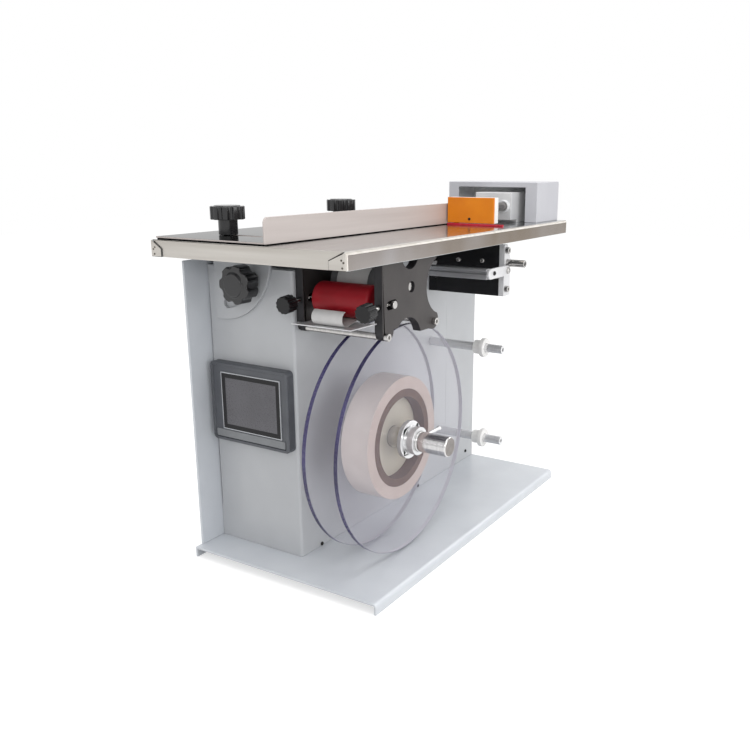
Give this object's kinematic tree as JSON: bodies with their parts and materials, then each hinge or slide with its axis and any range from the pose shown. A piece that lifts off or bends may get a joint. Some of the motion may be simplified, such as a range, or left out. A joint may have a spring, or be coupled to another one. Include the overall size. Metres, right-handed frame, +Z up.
{
  "type": "corner labeling machine",
  "caption": "Bench labeling machine with a tilting fenced table, a sliding press plate, a roller label head below and a clear disc label reel on its side.",
  "frame": {"origin": "on the floor under the middle of the bounding box", "axes": "X from the operator's left to the reel side, Y from the front panel to the back, Z up"},
  "size_m": [0.242, 0.46, 0.367],
  "materials": {
    "powder_grey": "light grey powder coat with a fine orange peel",
    "powder_white": "white powder coat",
    "table_steel": "satin stainless sheet, brushed along the front lip",
    "film_steel": "stainless sheet under a thin pinkish film",
    "dark_anodised": "dark grey anodised aluminium",
    "black_anodised": "black anodised aluminium",
    "ground_steel": "ground steel",
    "polished_steel": "polished hardened steel",
    "clear_aluminium": "clear anodised aluminium",
    "zinc_steel": "zinc plated steel",
    "black_plastic": "black moulded plastic",
    "panel_plastic": "dark grey moulded plastic",
    "screen": "smooth touch film over a dark display",
    "red_silicone": "dark red silicone rubber",
    "grey_rubber": "dark grey rubber sleeve",
    "orange_plastic": "orange foam faced plastic",
    "white_plastic": "white nylon",
    "ivory_plastic": "ivory plastic",
    "clear_acrylic": "clear acrylic with violet tinted edges",
    "cardboard": "wound grey brown cardboard",
    "label_paper": "wound label paper on its liner",
    "liner_paper": "glossy siliconed liner paper",
    "red_plastic": "red switch plastic"
  },
  "bodies": {
    "frame": {"base_plate": "powder_grey", "side_plate": "powder_grey", "body_cover": "powder_grey", "rear_cover": "powder_grey", "cross_beams": "zinc_steel", "hinge_brackets": "zinc_steel", "touch_panel": "panel_plastic", "panel_screen": "screen", "head_plate_left": "dark_anodised", "head_plate_right": "dark_anodised", "head_bars": "ground_steel", "cap_screws": "ground_steel", "liner_guide": "table_steel", "liner_strip": "liner_paper", "peel_plate_upper": "black_anodised", "peel_plate_lower": "black_anodised", "peel_end_left": "black_anodised", "peel_end_right": "clear_aluminium", "peel_shaft": "ground_steel", "guide_rods": "ground_steel", "bearing_barrel": "clear_aluminium", "drive_motor": "black_plastic", "power_supply": "zinc_steel", "air_valve": "clear_aluminium", "power_inlet": "black_plastic", "air_inlet": "polished_steel"},
    "table": {"table_top": "table_steel", "sector_plate": "powder_grey", "rear_hinge_plate": "powder_grey", "wiper_strip": "red_silicone", "press_housing": "powder_white", "press_cylinder": "clear_aluminium"},
    "press": {"press_rods": "polished_steel", "press_block": "white_plastic", "press_face": "orange_plastic"},
    "side_fence": {"fence": "film_steel", "fence_pad": "black_plastic"},
    "front_clamp": {"fence_knob_front": "black_plastic"},
    "rear_clamp": {"fence_knob_rear": "black_plastic"},
    "tilt_lock": {"star_knob": "black_plastic"},
    "drive": {"drive_roller": "grey_rubber", "drive_coupling": "clear_aluminium"},
    "nip_carrier": {"nip_axle": "ground_steel"},
    "nip": {"nip_roller": "red_silicone"},
    "tension_left": {"tension_knob_left": "black_plastic"},
    "tension_right": {"tension_knob_right": "black_plastic"},
    "swing": {"swing_bar": "clear_aluminium", "swing_arms": "clear_aluminium"},
    "reel": {"reel_shaft": "polished_steel", "rear_disc": "clear_acrylic", "reel_hub": "ivory_plastic", "roll_core": "cardboard", "label_roll": "label_paper"},
    "reel_outer": {"front_disc": "clear_acrylic", "reel_collar": "clear_aluminium"},
    "reel_lever": {"clamp_lever": "polished_steel"},
    "upper_guide": {"guide_collar_upper": "white_plastic"},
    "lower_guide": {"guide_collar_lower": "white_plastic"},
    "switch": {"switch_rocker": "red_plastic"}
  },
  "joints": [
    {"name": "table_tilt", "type": "hinge", "parent": "frame", "child": "table", "pos_m": [-0.0885, 0, 0.306], "axis": [0, -1, 0], "range_deg": [0, 35]},
    {"name": "press_stroke", "type": "slide", "parent": "table", "child": "press", "axis": [0, -1, 0], "range_m": [0, 0.03]},
    {"name": "fence_slide", "type": "slide", "parent": "table", "child": "side_fence", "axis": [1, 0, 0], "range_m": [-0.04, 0]},
    {"name": "front_clamp_turn", "type": "hinge", "parent": "table", "child": "front_clamp", "pos_m": [-0.075, -0.177, 0.321], "axis": [0, 0, 1], "range_deg": [0, 360]},
    {"name": "rear_clamp_turn", "type": "hinge", "parent": "table", "child": "rear_clamp", "pos_m": [-0.075, 0, 0.321], "axis": [0, 0, 1], "range_deg": [0, 360]},
    {"name": "tilt_lock_turn", "type": "hinge", "parent": "frame", "child": "tilt_lock", "pos_m": [-0.04796, -0.174, 0.28125], "axis": [0, -1, 0], "range_deg": [0, 360]},
    {"name": "drive_spin", "type": "hinge", "parent": "frame", "child": "drive", "pos_m": [0.045, -0.12174, 0.28074], "axis": [1, 0, 0], "continuous": true},
    {"name": "nip_open", "type": "slide", "parent": "frame", "child": "nip_carrier", "axis": [0, -0.9962, -0.0872], "range_m": [0, 0.003]},
    {"name": "nip_spin", "type": "hinge", "parent": "nip_carrier", "child": "nip", "pos_m": [0.045, -0.15365, 0.269], "axis": [1, 0, 0], "continuous": true},
    {"name": "tension_left_turn", "type": "hinge", "parent": "nip_carrier", "child": "tension_left", "pos_m": [0.00125, -0.15365, 0.269], "axis": [0, -0.9962, -0.0872], "range_deg": [0, 360]},
    {"name": "tension_right_turn", "type": "hinge", "parent": "nip_carrier", "child": "tension_right", "pos_m": [0.08775, -0.15365, 0.269], "axis": [0, -0.9962, -0.0872], "range_deg": [0, 360]},
    {"name": "bar_swing", "type": "hinge", "parent": "frame", "child": "swing", "pos_m": [0.045, 0.071, 0.2756], "axis": [1, 0, 0], "range_deg": [-20, 40]},
    {"name": "reel_spin", "type": "hinge", "parent": "frame", "child": "reel", "pos_m": [0.05, -0.099, 0.127], "axis": [1, 0, 0], "continuous": true},
    {"name": "reel_open", "type": "slide", "parent": "reel", "child": "reel_outer", "axis": [1, 0, 0], "range_m": [0, 0.01]},
    {"name": "reel_lever_turn", "type": "hinge", "parent": "reel_outer", "child": "reel_lever", "pos_m": [0.0823, -0.085, 0.127], "axis": [0, 1, 0], "range_deg": [0, 360]},
    {"name": "upper_guide_slide", "type": "slide", "parent": "frame", "child": "upper_guide", "axis": [1, 0, 0], "range_m": [-0.02, 0.015]},
    {"name": "lower_guide_slide", "type": "slide", "parent": "frame", "child": "lower_guide", "axis": [1, 0, 0], "range_m": [-0.02, 0.015]},
    {"name": "switch_rock", "type": "hinge", "parent": "frame", "child": "switch", "pos_m": [-0.065, 0.1875, 0.071], "axis": [1, 0, 0], "range_deg": [-8, 8]}
  ],
  "couplings": [
    {"joint": "nip_spin", "follows": "drive_spin", "ratio": -1.129}
  ]
}
